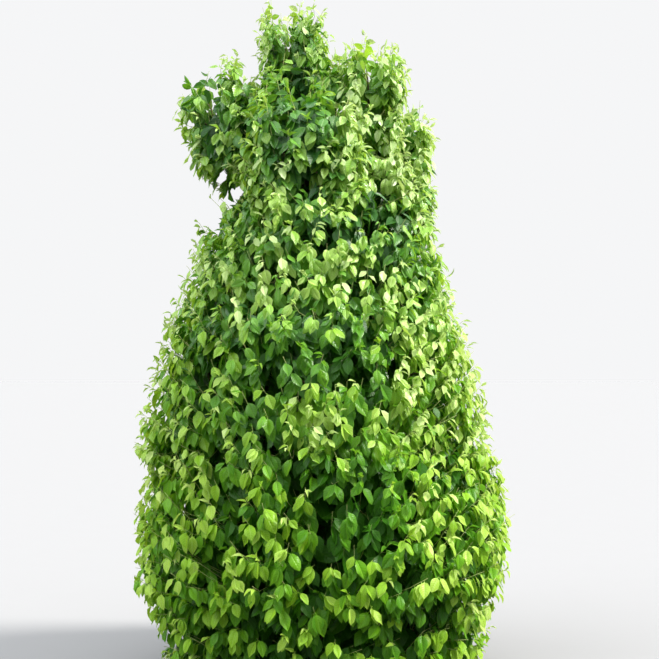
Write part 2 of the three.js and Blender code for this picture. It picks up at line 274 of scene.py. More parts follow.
def surfaceGroup(name, **inputs):
    # a shared effect: colours and values go in, colour, height and roughness come out
    group = bpy.data.node_groups.new(name, "ShaderNodeTree")
    for label, kind in inputs.items():
        group.interface.new_socket(label, in_out="INPUT", socket_type="NodeSocket" + kind)
    for label, kind in (("Color", "Color"), ("Height", "Float"), ("Rough", "Float")):
        group.interface.new_socket(label, in_out="OUTPUT", socket_type="NodeSocket" + kind)
    return group, group.nodes.new("NodeGroupInput").outputs


def giveOut(group, *values):
    for socket, value in zip(group.nodes.new("NodeGroupOutput").inputs, values):
        group.links.new(value, socket)
    return group


def newNode(tree, kind, inputs=(), **settings):
    # each input gets a number, a colour, a vector or another node's output
    node = tree.nodes.new("ShaderNode" + kind)
    for setting, value in settings.items():
        setattr(node, setting, value)
    for label, value in dict(inputs).items():
        socket = node.inputs[label]
        if isinstance(value, bpy.types.NodeSocket):
            tree.links.new(value, socket)
        else:
            socket.default_value = (*value, 1) if socket.type == "RGBA" else value
    return node.outputs


def mathNode(tree, operation, *values):
    return newNode(tree, "Math", enumerate(values), operation=operation)[0]


def rangeNode(tree, value, low, high, toLow, toHigh):
    inputs = {"Value": value, "From Min": low, "From Max": high, "To Min": toLow, "To Max": toHigh}
    return newNode(tree, "MapRange", inputs, interpolation_type="SMOOTHSTEP")["Result"]


def mixNode(tree, share, first, second):
    return newNode(tree, "Mix", {0: share, 6: first, 7: second}, data_type="RGBA")[2]


def mixNumbers(tree, share, first, second):
    return newNode(tree, "Mix", {0: share, 2: first, 3: second})[0]


def noiseNode(tree, coordinates, scale, detail, stretch=(1, 1, 1)):
    vector = newNode(tree, "Mapping", {"Vector": coordinates, "Scale": stretch})[0]
    return newNode(tree, "TexNoise", {"Vector": vector, "Scale": scale, "Detail": detail})["Fac"]


# Bark colour and relief, read along the straightened limb
def barkGroup():
    group, given = surfaceGroup("barkSurface", Light="Color", Dark="Color", Moss="Color")
    vector = newNode(group, "Attribute", attribute_name="barkPlace")["Vector"]
    streaks = noiseNode(group, vector, 60, 6, (1, 1, 0.12))
    blotches = noiseNode(group, vector, 14, 3, (1, 1, 0.5))
    pores = noiseNode(group, vector, 240, 2, (1, 1, 2.5))
    ridge = rangeNode(group, streaks, 0.35, 0.65, 0, 1)
    grey = mixNode(group, ridge, given["Dark"], given["Light"])
    mossy = rangeNode(group, blotches, 0.56, 0.7, 0, 0.5)
    colour = mixNode(group, mossy, grey, given["Moss"])
    height = mathNode(group, "ADD", streaks, mathNode(group, "MULTIPLY", pores, 0.3))
    return giveOut(group, colour, height, rangeNode(group, streaks, 0.3, 0.7, 0.92, 0.7))


# Leaf colour: mottled blade, pale midrib and side veins that run forward to the edge
leafLook = {
    "mottling": (0.01, 0.05, 0.004), "sideVeins": 7, "veins": 0.55, "flecks": 0.18,
    "roughest": 0.42, "smoothest": 0.26, "bumpHeight": 0.0022, "glow": 0.3,
}


def leafGroup():
    group, given = surfaceGroup("leafSurface", Blade="Color", Vein="Color", Shade="Float")
    place = newNode(group, "UVMap", uv_map="leafPlace")[0]
    along, across, _ = newNode(group, "SeparateXYZ", {0: place})
    off = mathNode(group, "ABSOLUTE", mathNode(group, "SUBTRACT", across, 0.5))
    midrib = rangeNode(group, off, 0.02, 0.075, 1, 0)
    slant = mathNode(group, "SUBTRACT", along, mathNode(group, "MULTIPLY", off, 0.5))
    pleat = mathNode(group, "PINGPONG", mathNode(group, "MULTIPLY", slant, leafLook["sideVeins"]), 0.5)
    sideVein = rangeNode(group, pleat, 0.03, 0.22, 0.8, 0)
    rim = rangeNode(group, off, 0.40, 0.49, 0, 0.8)
    veins = mathNode(group, "MAXIMUM", mathNode(group, "MAXIMUM", midrib, sideVein), rim)
    coordinates = newNode(group, "TexCoord")["Object"]
    broad = noiseNode(group, coordinates, 16, 2)
    fine = noiseNode(group, coordinates, 150, 3)
    shade = mathNode(group, "MULTIPLY", rangeNode(group, broad, 0.3, 0.7, 1, 0), given["Shade"])
    dark = mixNode(group, shade, given["Blade"], leafLook["mottling"])
    flecks = rangeNode(group, fine, 0.5, 0.75, 0, leafLook["flecks"])
    flecked = mixNode(group, flecks, dark, given["Vein"])
    paleness = mathNode(group, "MULTIPLY", veins, leafLook["veins"])
    colour = mixNode(group, paleness, flecked, given["Vein"])
    height = mathNode(group, "SUBTRACT", pleat, mathNode(group, "MULTIPLY", midrib, 0.6))
    rough = rangeNode(group, broad, 0.3, 0.7, leafLook["roughest"], leafLook["smoothest"])
    return giveOut(group, colour, height, rough)


barkSurface = barkGroup()
leafSurface = leafGroup()
barkGloss = 0.3
bumpStrength = 0.6


def surfaceShader(tree, surface, values, gloss, bumpHeight):
    # a shader fed by a shared surface group, which gets this material's own colours
    made = newNode(tree, "Group", values, node_tree=surface)
    bump = {"Strength": bumpStrength, "Distance": bumpHeight, "Height": made["Height"]}
    look = {"Base Color": made["Color"], "Roughness": made["Rough"], "Specular IOR Level": gloss}
    return newNode(tree, "BsdfPrincipled", {**look, "Normal": newNode(tree, "Bump", bump)[0]})[0]


def barkMaterial(name, light, dark, moss, bumpHeight):
    material, tree = newMaterial(name)
    values = {"Light": light, "Dark": dark, "Moss": moss}
    shader = surfaceShader(tree, barkSurface, values, barkGloss, bumpHeight)
    newNode(tree, "OutputMaterial", {0: shader})
    return material


def leafMaterial(name, blade, vein, through, shade, gloss):
    material, tree = newMaterial(name)
    values = {"Blade": blade, "Vein": vein, "Shade": shade}
    shader = surfaceShader(tree, leafSurface, values, gloss, leafLook["bumpHeight"])
    glow = newNode(tree, "BsdfTranslucent", {"Color": through})[0]
    mixed = newNode(tree, "MixShader", {0: leafLook["glow"], 1: shader, 2: glow})[0]
    newNode(tree, "OutputMaterial", {0: mixed})
    return material


oldBark = barkMaterial("oldBark", (0.30, 0.28, 0.24), (0.11, 0.10, 0.08), (0.13, 0.16, 0.07), 0.004)
twigBark = barkMaterial("twigBark", (0.20, 0.15, 0.09), (0.07, 0.05, 0.03), (0.10, 0.12, 0.04), 0.001)
shootBark = barkMaterial("shootBark", (0.42, 0.50, 0.18), (0.24, 0.30, 0.08), (0.40, 0.34, 0.16), 0.0006)

leafKinds = [  # name, blade, vein, light through the leaf, depth of its mottling, slot
    ("deep", (0.029, 0.134, 0.006), (0.07, 0.20, 0.02), (0.09, 0.28, 0.01), 0.30, "foliage"),
    ("mid", (0.068, 0.238, 0.009), (0.15, 0.34, 0.03), (0.20, 0.46, 0.02), 0.26, "foliage"),
    ("green", (0.118, 0.336, 0.012), (0.22, 0.44, 0.04), (0.30, 0.57, 0.03), 0.22, "foliage"),
    ("fresh", (0.212, 0.438, 0.022), (0.35, 0.56, 0.08), (0.43, 0.68, 0.04), 0.18, "foliage"),
    ("light", (0.345, 0.572, 0.076), (0.50, 0.69, 0.20), (0.54, 0.76, 0.11), 0.16, "foliage_light"),
    ("young", (0.465, 0.648, 0.210), (0.62, 0.76, 0.36), (0.62, 0.79, 0.22), 0.10, "foliage_light"),
]
# Up the crown the blades are painted greyer with a pale sheen, in the Shoulder brighter, and glossier;
# low down they are less blue
groupTintsAndPaintedSheen = {  # painted sheen up the crown: by channel, a factor and what is added; and the gloss
    "Skirt": ((1.00, 1.00, 0.60), (0.0, 0.0, 0.0), 0.18),
    "Waist": ((1.00, 1.00, 0.60), (0.0, 0.0, 0.0), 0.19),
    "Breast": ((1.00, 1.00, 0.85), (0.0, 0.0, 0.0), 0.30),
    "Shoulder": ((1.05, 1.05, 1.00), (0.011, 0.016, 0.025), 0.42),
    "Heads": ((0.96, 0.96, 1.00), (0.011, 0.016, 0.034), 0.46),
}
leafMaterials = {}
for group, (factors, paintedSheen, gloss) in groupTintsAndPaintedSheen.items():
    for name, blade, *look, _ in leafKinds:
        tinted = tuple(value * factor + sheenAdded for value, factor, sheenAdded in zip(blade, factors, paintedSheen))
        leafMaterials[name + group] = leafMaterial(name + "Leaf" + group, tinted, *look, gloss)
print("materials made")


def trunkPiece():
    along, around = trunk["along"], trunk["around"]
    angle = anglesRound(around)
    share = np.linspace(0, 1, along + 1)
    z, radius = trunkSkin(angle[None, :], share[:, None])
    z = z[:, 0]
    centres = trunkAt(z)
    normal = np.tile([1.0, 0.0, 0.0], (along + 1, 1))
    binormal = np.tile([0.0, 1.0, 0.0], (along + 1, 1))
    foot = np.minimum(z / trunk["plainFoot"], 1)[:, None]
    radii = radius + barkSwell(angle[None, :], z[:, None], radius) * foot
    bm = bmesh.new()
    bm.verts.layers.float_vector.new("barkPlace")
    limbMesh(bm, centres, (normal, binormal), radii, around, z)
    finishPiece("trunkBark", meshFrom("trunkBark", bm), oldBark, ["trunk"])


def boughCurve(mass):
    # the bough's three control points, from inside the trunk to where the mass's stem begins
    if mass["head"]:
        x, y, z = mass["at"]
        fork = trunkAt(mass["fork"])
        below = z - mass["half"][2] * crown["headCore"] - bough["headBelow"]
        tip = np.array([x * bough["gather"], y * bough["gather"], below])
        lean, rise = bough["headLean"], bough["headRise"]
    else:
        centre = (mass["low"] + mass["high"]) / 2
        climb = min(bough["climb"], centre - bough["lowest"])
        step = (mass["number"] * 2) % crown["massesInATier"] - 2
        fork = trunkAt(centre - climb + bough["stagger"] * step)
        tip = onTier(mass, 0, centre - bough["below"], crown["coreInner"] - bough["short"])
        lean, rise = bough["lean"], bough["rise"]
    bend = fork * (1 - lean) + tip * lean
    bend[2] = fork[2] * (1 - rise) + tip[2] * rise
    return fork, bend, tip


def onTier(mass, across, z, share):
    radius = outline(z) * (1 - crown["valley"] * np.asarray(across, float) ** 2) * share
    angle = mass["middle"] + across * halfTurn
    x = mass["shift"] + np.cos(angle) * radius
    return np.stack(np.broadcast_arrays(x, np.sin(angle) * radius, z), -1)


def boughPieces(group, members):
    along, around = bough["along"], bough["around"]
    angle = anglesRound(around)
    bm = bmesh.new()
    bm.verts.layers.float_vector.new("barkPlace")
    for mass in members:
        trunkHere = float(trunkRadius(mass["curve"][0][2]))
        centres = bezier(mass["curve"], np.linspace(0, 1, along + 1))
        lengths = np.concatenate([[0], np.cumsum(np.linalg.norm(np.diff(centres, axis=0), axis=1))])
        foot = bough["headFoot"]
        if not mass["head"]:
            foot = bough["foot"] + bough["footShare"] * trunkHere
        thick = np.linspace(foot, bough["tip"], along + 1)
        beyond = np.maximum(lengths - trunkHere, 0)
        thick = (thick * (1 + bough["collar"] * np.exp(-beyond / bough["collarLength"])))[:, None]
        barkFrom = lengths + mass["seed"]  # each bough reads another stretch of the bark
        radii = thick + barkSwell(angle[None, :], barkFrom[:, None], thick)
        limbMesh(bm, centres, framesAlong(centres), radii, around, barkFrom)
    nodes = ["bough_" + mass["name"] for mass in members]
    finishPiece("boughs" + group, meshFrom("boughs" + group, bm), oldBark, nodes)


# The masses of foliage, grouped by ring, with all heads in one group
masses = []
for name, low, high, shift, turn in crown["tiers"]:
    for number in range(crown["massesInATier"]):
        masses.append({
            "name": f"{name}_{number + 1}", "group": name.capitalize(), "head": False,
            "low": low, "high": high, "shift": shift, "number": number,
            "middle": math.radians(turn) + 2 * halfTurn * number,
        })
for name, at, half, fork in crown["heads"]:
    masses.append({
        "name": "head_" + name, "group": "Heads", "head": True, "clear": crown["headClear"],
        "at": np.array(at), "half": np.array(half), "fork": fork,
    })
for order, mass in enumerate(masses):
    mass["seed"] = order + 1
    mass["curve"] = None if mass["head"] and mass["fork"] is None else boughCurve(mass)

trunkPiece()
groups = ["Skirt", "Waist", "Breast", "Shoulder", "Heads"]
for group in groups:
    boughPieces(group, [m for m in masses if m["group"] == group and m["curve"] is not None])
print("trunk and boughs clad in bark")


def ballsOfLeaves(name, places, seed):
    return [
        {"name": name, "group": "Heads", "head": True, "clear": crown["fillerClear"],
         "at": np.array(at), "half": np.array(half), "seed": seed + number}
        for number, (at, half) in enumerate(places)
    ]


between = ballsOfLeaves("between", fillers, len(masses) + 1)
deepInside = ballsOfLeaves("deepInside", darkFillers, len(masses) + len(between) + 1)


def tableOf(names, *rows):
    return [dict(zip(names, row)) for row in rows]


# Layers of shoots from the outside of the crown inwards: spacing in leaves, share of the outline, share
# left out, nodes with leaves, leaf size and stray
layerValues = ("name", "pitch", "share", "skip", "nodes", "size", "stray")
layers = tableOf(
    layerValues,
    ("outer", 1.41, 1.0, 0.03, 5, 1.0, 0),
    ("middle", 1.66, 0.92, 0, 4, 1.15, 0.2),
    ("inner", 2.1, 0.76, 0, 4, 1.7, 0.8),
    ("heart", 2.3, 0.55, 0, 4, 2.3, 0.9),
    ("core", 2.5, 0.28, 0, 4, 2.5, 0.9),
)
headLayers = tableOf(
    layerValues,
    ("outer", 1.40, 1.0, 0.03, 5, 1.0, 0),
    ("middle", 1.9, 0.80, 0, 4, 1.2, 0.2),
    ("heart", 2.2, 0.5, 0, 3, 1.7, 0.9),
)
shoot = {
    # from a shoot's tip to the tip of the leaf that hangs from it, outwards
    "reach": {"Skirt": 0.018, "Waist": 0.018, "Breast": 0.012, "Shoulder": -0.018},
    "ragged": 0.035, "headRagged": 0.03,  # how much further in some tips end
    "sprigShare": 0.4, "sprigRise": 0.06,
    "lump": 0.035, "headLump": 2.2, "tries": 14, "edge": 4, "edgeRoom": 0.035, "lowest": 0.13,
    "hang": 0.03, "armHang": -0.02,  # how much higher than its band a tip lies
    "fall": 0.08, "halfLeaf": 0.03,  # how much lower than the tip its leaves end, and their middles lie
    "overhang": 0.01, "past": 0.02, "rise": 0.7, "wander": 0.22, "leafy": 0.17, "inwards": 0.05,
    "foot": 0.0026, "tip": 0.0011, "sides": 3, "steps": 5,
}
arm = {
    "pitch": 0.27, "headPitch": 0.8, "share": 0.70, "headShare": 0.62, "stemRise": 0.04,
    "firstStep": 2, "arch": 0.07, "foot": 0.0075, "tip": 0.0030, "sides": 5, "steps": 8,
}
# Places on the front as the camera sees them: x, z and radius in the plane of the trunk
windows = [  # light seen through and round the left head, and gaps at the outline
    (-0.534, 2.7, 0.048), (-0.463, 2.62, 0.044), (-0.708, 2.975, 0.038), (-0.69, 3.34, 0.085),
    (-0.62, 2.5, 0.072), (-0.77, 2.69, 0.06), (-0.796, 3.2, 0.045), (0.775, 1.99, 0.05),
    (0.99, 0.3, 0.075), (-0.96, 0.11, 0.065),
]
hollowsPaintedDark = [  # hollows among the leaves: the outer leaves left out, those behind painted dark as shade
    (-0.1, 3.18, 0.04), (-0.1, 2.71, 0.04), (-0.06, 2.6, 0.045), (0.29, 2.57, 0.06), (0.44, 2.48, 0.05),
    (-0.58, 1.85, 0.04), (0.37, 1.77, 0.05), (0.18, 1.67, 0.06), (-0.29, 1.57, 0.055),
    (0.27, 1.5, 0.06), (-0.44, 1.43, 0.05), (0.64, 1.44, 0.05), (-0.57, 1.16, 0.04),
    (-0.13, 1.12, 0.055), (0.05, 1.04, 0.055), (0.72, 1.22, 0.04), (0.74, 1.02, 0.05),
    (0.81, 0.89, 0.045), (0.09, 0.9, 0.05), (0.22, 0.9, 0.055), (-0.53, 0.92, 0.04),
    (-0.54, 0.77, 0.05), (0.29, 0.7, 0.05), (0.22, 0.61, 0.05), (0.68, 0.58, 0.045),
    (-0.65, 0.48, 0.04), (-0.46, 0.39, 0.045), (-0.1, 0.35, 0.045), (0.6, 0.31, 0.045),
    (0.45, 0.17, 0.06), (0.16, 0.11, 0.055),
]
hollowsBefore = -0.12  # they lie in front of this depth


def seenAt(points):
    # where a point is seen in the plane of the trunk, from the camera
    eye = np.array(cameraSettings["place"])
    shrink = -eye[1] / (points[:, 1] - eye[1])
    return eye[0] + (points[:, 0] - eye[0]) * shrink, eye[2] + (points[:, 2] - eye[2]) * shrink


def within(points, spots):
    x, z = seenAt(points)
    found = np.zeros(len(points), bool)
    for spotX, spotZ, radius in spots:
        found |= np.hypot(x - spotX, z - spotZ) < radius
    return found


def inHollowPaintedDark(points):
    return within(points, hollowsPaintedDark) & (points[:, 1] < hollowsBefore)


def scattered(count, low, high, rng):
    # places over a band, even but in no rows: each is that of a few tries which is furthest from the rest
    across, heightsHere = np.empty(count), np.empty(count)
    for number in range(count):
        side = rng.uniform(-1, 1, shoot["tries"])
        level = rng.uniform(low, high, shoot["tries"])
        width = outline(level) * halfTurn
        sideways = side[:, None] * width[:, None] - across[None, :number] * width[:, None]
        upwards = level[:, None] - heightsHere[None, :number]
        gaps = np.hypot(sideways, upwards)
        # the next band's places count too, as far beyond the side as this one's are within it
        edge = shoot["edge"] * (1 - np.abs(side)) * width
        nearest = np.minimum(gaps.min(1), edge + shoot["edgeRoom"]) if number else edge
        best = nearest.argmax()
        across[number], heightsHere[number] = side[best], level[best]
    return across, heightsHere


def tierPlaces(mass, pitch, share, rng, hang=shoot["hang"]):
    # places over the mass's outer face: shoot tips and the way out of the crown
    low, high = mass["low"] + hang, mass["high"] + hang
    wide = float(outline((mass["low"] + mass["high"]) / 2)) * share * 2 * halfTurn
    count = max(round(wide * (high - low) / pitch ** 2), 3)
    across, z = scattered(count, low, high, rng)
    z = np.where(z < shoot["lowest"], 2 * shoot["lowest"] - z, z)
    reach = np.minimum(outline(z), outline(z - shoot["fall"]) + shoot["overhang"])
    swell = 1 + shoot["lump"] * lumps(onTier(mass, across, z, 1.0))
    inset = shoot["reach"][mass["group"]] + rng.uniform(0, 1, count) ** 2 * shoot["ragged"]
    radial = (reach / outline(z)) * share * swell - inset / outline(z)
    tips = onTier(mass, across, z, np.minimum(radial, share + shoot["past"]))
    angle = mass["middle"] + across * halfTurn
    slope = (outline(z - 0.1) - outline(z + 0.1)) / 0.2
    return tips, unit(np.stack([np.cos(angle), np.sin(angle), slope], 1))


def highUp(z):
    # how far up in the very top of the crown, in metres
    return np.clip(np.asarray(z) - crown["topFrom"], 0, crown["topMost"])


def sizeAt(z):
    # the leaves get smaller towards the very top
    return 1 - crown["topSmaller"] * highUp(z)


def squared(values, boxy):
    return np.sign(values) * np.abs(values) ** boxy


headBall = {
    "steps": 185, "first": 0.5, "last": -0.42,  # from pole towards pole, in half turns
    "turn": 3 - math.sqrt(5), "slip": 0.3, "tuckPower": 1.2, "lumpScale": 1.6, "most": 1.03,
    "sprigsAbove": 0.6, "sprigLeast": 0.3, "ceiling": 0.016,
}


def headPlaces(mass, pitch, share, rng):
    # an even spiral over the squared ball, from its top downwards; the very foot stays open
    a, b, c = mass["half"]
    mean = (a + b) / 2
    shape = {**headShapes["any"], **headShapes.get(mass["name"].removeprefix("head_"), {})}
    slant = np.linspace(headBall["first"], headBall["last"], headBall["steps"]) * math.pi
    boxy = np.where(slant < 0, shape["boxyBelow"], shape["boxy"])
    ring, rise = squared(np.cos(slant), boxy), squared(np.sin(slant), boxy)
    strips = np.hypot(mean * np.diff(ring), c * np.diff(rise)) * (ring[1:] + ring[:-1]) * math.pi * mean
    area = np.concatenate([[0], np.cumsum(strips)])
    count = round(area[-1] * share * share / pitch ** 2)
    slant = np.interp((np.arange(count) + 0.5) / count * area[-1], area, slant)
    slip = rng.uniform(-headBall["slip"], headBall["slip"], count)
    angle = np.arange(count) * math.pi * headBall["turn"] + slip
    up = np.sin(slant)
    out = np.stack([np.cos(angle) * np.cos(slant), np.sin(angle) * np.cos(slant), up], 1)
    boxy = np.where(up < 0, shape["boxyBelow"], shape["boxy"])[:, None]
    ball = squared(out, boxy) * mass["half"]
    tuck = np.sign(mass["at"][0]) * shape["tuck"]
    ball[:, 0] -= tuck * np.maximum(-up, 0) ** headBall["tuckPower"]
    lump = lumps(headBall["lumpScale"] * (mass["at"] + ball))
    swell = share * (1 + shoot["headLump"] * shoot["lump"] * lump)
    inset = shape["reach"] + rng.uniform(0, 1, count) ** 2 * shoot["headRagged"]
    lower = rng.uniform(0, 1, count) * shape["topRagged"] * np.maximum(up, 0)
    short = np.stack([1 - inset / a, 1 - inset / b, 1 - lower / c], 1)
    tips = mass["at"] + ball * np.minimum(swell, share * headBall["most"])[:, None] * short
    sprigs = (up > headBall["sprigsAbove"]) & (rng.random(count) < shoot["sprigShare"]) & (share == 1)
    tips[:, 2] += sprigs * rng.uniform(headBall["sprigLeast"], 1, count) * shoot["sprigRise"]
    tips[:, 2] = np.minimum(tips[:, 2], cadBox[1][2] - headBall["ceiling"])
    keep = ~buried(tips, mass, share) | (mass["name"] == "deepInside")
    return tips[keep], out[keep]


def buried(points, mass, share):
    # inside another head, or down in the clad body
    x, y, z = points.T
    inBody = np.hypot(x + crown["bodyShift"], y) < outline(z) * crown["bodyClear"]
    hidden = inBody & (z < crown["tiers"][-1][2] - crown["bodyTop"])
    for other in masses + between:
        if other["head"] and other is not mass:
            away = np.linalg.norm((points - other["at"]) / other["half"], axis=1)
            hidden |= away < other["clear"] * share
    return hidden


def armsOf(mass, rng):
    # the stem from the bough's tip, then arms that fan out from it to the mass's inner shell
    share = arm["headShare"] if mass["head"] else arm["share"]
    if mass["head"]:
        centre = mass["at"]
    else:
        inwards = (crown["coreInner"] + crown["coreOuter"]) / 2
        centre = onTier(mass, 0, (mass["low"] + mass["high"]) / 2, inwards)
    if mass["curve"] is None:
        start = trunkAt(trunk["height"])
        heading = upward
    else:
        start = mass["curve"][2]
        heading = unit(mass["curve"][2] - mass["curve"][1])
    shares = np.linspace(0, 1, arm["steps"] + 1)
    stem = bezier((start, start + arm["stemRise"] * heading, centre), shares)
    if mass["head"]:
        ends, _ = headPlaces(mass, arm["pitch"] * arm["headPitch"], share, rng)
    else:
        ends, _ = tierPlaces(mass, arm["pitch"], share, rng, shoot["armHang"])
    starts = stem[rng.integers(arm["firstStep"], len(shares), len(ends))]
    bend = starts + 0.5 * (ends - starts) + arm["arch"] * upward
    paths = bezier((starts, bend, ends), np.tile(shares, (len(ends), 1)))
    return np.concatenate([stem[None], paths])


def tubesMesh(name, paths, limb):
    # many thin tapering limbs of the same count of steps, joined, with closed tips
    count, steps = paths.shape[:2]
    sides = limb["sides"]
    normal, binormal = framesAlong(paths)
    angle = anglesRound(sides)
    radius = np.linspace(limb["foot"], limb["tip"], steps)[None, :, None, None]
    spokes = normal[:, :, None] * np.cos(angle)[:, None] + binormal[:, :, None] * np.sin(angle)[:, None]
    verts = (paths[:, :, None] + spokes * radius).reshape(count, steps * sides, 3)
    quads = []
    for step in range(steps - 1):
        for side in range(sides):
            a, b = step * sides + side, step * sides + (side + 1) % sides
            quads.append([a, b, b + sides, a + sides])
    ends = [[*range(sides)][::-1], [(steps - 1) * sides + side for side in range(sides)]]
    lengths = np.cumsum(np.linalg.norm(np.diff(paths, axis=1, prepend=paths[:, :1]), axis=2), axis=1)
    straight = np.empty((count, steps, sides, 3))
    straight[..., 0] = np.cos(angle) * radius[..., 0]
    straight[..., 1] = np.sin(angle) * radius[..., 0]
    barkFrom = np.arange(count)[:, None, None] * 0.37  # each reads another stretch of the bark
    straight[..., 2] = lengths[:, :, None] + barkFrom
    mesh = joinedMesh(name, verts, quads + ends)
    place = mesh.attributes.new("barkPlace", "FLOAT_VECTOR", "POINT")
    place.data.foreach_set("vector", straight.astype(np.float32).ravel())
    return mesh


def joinedMesh(name, verts, faces):
    # copies of one small mesh, each with its own vertices, joined from arrays
    count, size = verts.shape[:2]
    corners = np.concatenate([np.array(face) for face in faces])
    sizes = np.array([len(face) for face in faces])
    loops = (corners[None, :] + (np.arange(count) * size)[:, None]).ravel()
    totals = np.tile(sizes, count)
    starts = np.concatenate([[0], np.cumsum(totals)[:-1]])
    mesh = bpy.data.meshes.new(name)
    mesh.vertices.add(count * size)
    mesh.vertices.foreach_set("co", verts.astype(np.float32).ravel())
    mesh.loops.add(len(loops))
    mesh.loops.foreach_set("vertex_index", loops.astype(np.int32))
    mesh.polygons.add(len(totals))
    mesh.polygons.foreach_set("loop_start", starts.astype(np.int32))
    mesh.update(calc_edges=True)
    mesh.shade_smooth()
    return mesh


# One leaf: broad ovate blade with a drawn-out tip, folded at the midrib, on a thin stalk
leafBlade = {
    "along": [0.0, 0.09, 0.30, 0.56, 0.83, 1.0],
    "half": [0.0, 0.155, 0.292, 0.318, 0.162, 0.0],
    "across": [-1.0, -0.55, 0.0, 0.55, 1.0],
    "shadedAlong": [0.0, 0.14, 0.42, 0.74, 1.0],  # the leaves deep in the crown have fewer faces
    "shadedAcross": [-1.0, 0.0, 1.0],
    "stalkHalf": 0.0011, "wavy": 0.045, "waves": 9,
}


def leafTemplate(along, across):
    # the blade's places (share along, share across) and its faces, base and tip as single points
    inner = along[1:-1]
    places = [(along[0], 0.0)] + [(u, v) for u in inner for v in across] + [(along[-1], 0.0)]
    wide, last = len(across), len(places) - 1
    faces = []
    for column in range(wide - 1):
        faces.append([0, 1 + column, 2 + column])
        for row in range(len(inner) - 1):
            a = 1 + row * wide + column
            faces.append([a, a + wide, a + wide + 1, a + 1])
        a = 1 + (len(inner) - 1) * wide + column
        faces.append([a, last, a + 1])
    return np.array(places), faces


def creaseMidribs(mesh, places, size):
    # the blade's two halves meet in a crease
    onMidrib = np.zeros(size, bool)
    onMidrib[: len(places)] = places[:, 1] == 0
    ends = np.empty(2 * len(mesh.edges), np.int32)
    mesh.edges.foreach_get("vertices", ends)
    crease = onMidrib[ends.reshape(-1, 2) % size].all(axis=1)
    sharp = mesh.attributes.new("sharp_edge", "BOOLEAN", "EDGE")
    sharp.data.foreach_set("value", crease)


openBlade = leafTemplate(leafBlade["along"], leafBlade["across"])
shadedBlade = leafTemplate(leafBlade["shadedAlong"], leafBlade["shadedAcross"])


def leavesMesh(name, leaves, template):
    # blades and stalks of many leaves, worked out all at once
    bladePlaces, bladeFaces = template
    u, v = bladePlaces[:, 0], bladePlaces[:, 1]
    bladeHalf = np.interp(u, leafBlade["along"], leafBlade["half"])
    length = leaves["length"][:, None]
    wide = bladeHalf * leaves["width"][:, None]
    wave = np.sin(u * leafBlade["waves"] + leaves["phase"][:, None] + np.sign(v) * 1.3)
    x = np.tile(u, (len(wide), 1))
    y = v * wide + leaves["bend"][:, None] * u * u
    z = (leaves["fold"][:, None] * np.abs(v) * wide - leaves["cup"][:, None] * v * v * wide
         - leaves["droop"][:, None] * u * u + leafBlade["wavy"] * wave * np.abs(v) * (wide > 0.1))
    along, face = leaves["along"], leaves["face"]
    side = np.cross(face, along)
    blade = leaves["base"][:, None] + length[..., None] * (
        x[..., None] * along[:, None] + y[..., None] * side[:, None] + z[..., None] * face[:, None])
    stalkWay = unit(leaves["base"] - leaves["root"])
    edge = unit(np.cross(stalkWay, face + 0.01)) * leafBlade["stalkHalf"]
    stalk = [leaves["base"] + edge, leaves["base"] - edge, leaves["root"] - edge, leaves["root"] + edge]
    verts = np.concatenate([blade, np.stack(stalk, 1)], 1)
    faces = bladeFaces + [list(range(len(bladePlaces), len(bladePlaces) + len(stalk)))]
    mesh = joinedMesh(name, verts, faces)
    creaseMidribs(mesh, bladePlaces, verts.shape[1])
    flat = np.concatenate([np.stack([u, v * 0.5 + 0.5], 1), np.tile([0.0, 0.5], (len(stalk), 1))])
    corners = np.concatenate([np.array(face) for face in faces])
    layer = mesh.uv_layers.new(name="leafPlace", do_init=False)
    layer.uv.foreach_set("vector", np.tile(flat[corners], (len(verts), 1)).astype(np.float32).ravel())
    return mesh


# Leaves on a shoot, from its tip inwards: distance from the tip, size, how far they stand out and up,
# and the chances of each kind
nodesOnShoot = tableOf(
    ("back", "size", "stand", "kinds"),
    (0.004, 0.52, 0.9, (0.00, 0.00, 0.05, 0.15, 0.35, 0.45)),
    (0.024, 0.84, 0.25, (0.00, 0.03, 0.17, 0.35, 0.37, 0.08)),
    (0.054, 0.98, 0.1, (0.00, 0.13, 0.35, 0.36, 0.15, 0.01)),
    (0.087, 1.04, 0.0, (0.07, 0.35, 0.37, 0.18, 0.03, 0.00)),
    (0.122, 1.06, 0.0, (0.22, 0.48, 0.25, 0.05, 0.00, 0.00)),
)
middleKinds = (0.42, 0.40, 0.18, 0.0, 0.0, 0.0)
innerKinds = (0.75, 0.25, 0.0, 0.0, 0.0, 0.0)
shadeKinds = {"middle": middleKinds, "inner": innerKinds, "heart": innerKinds, "core": innerKinds}
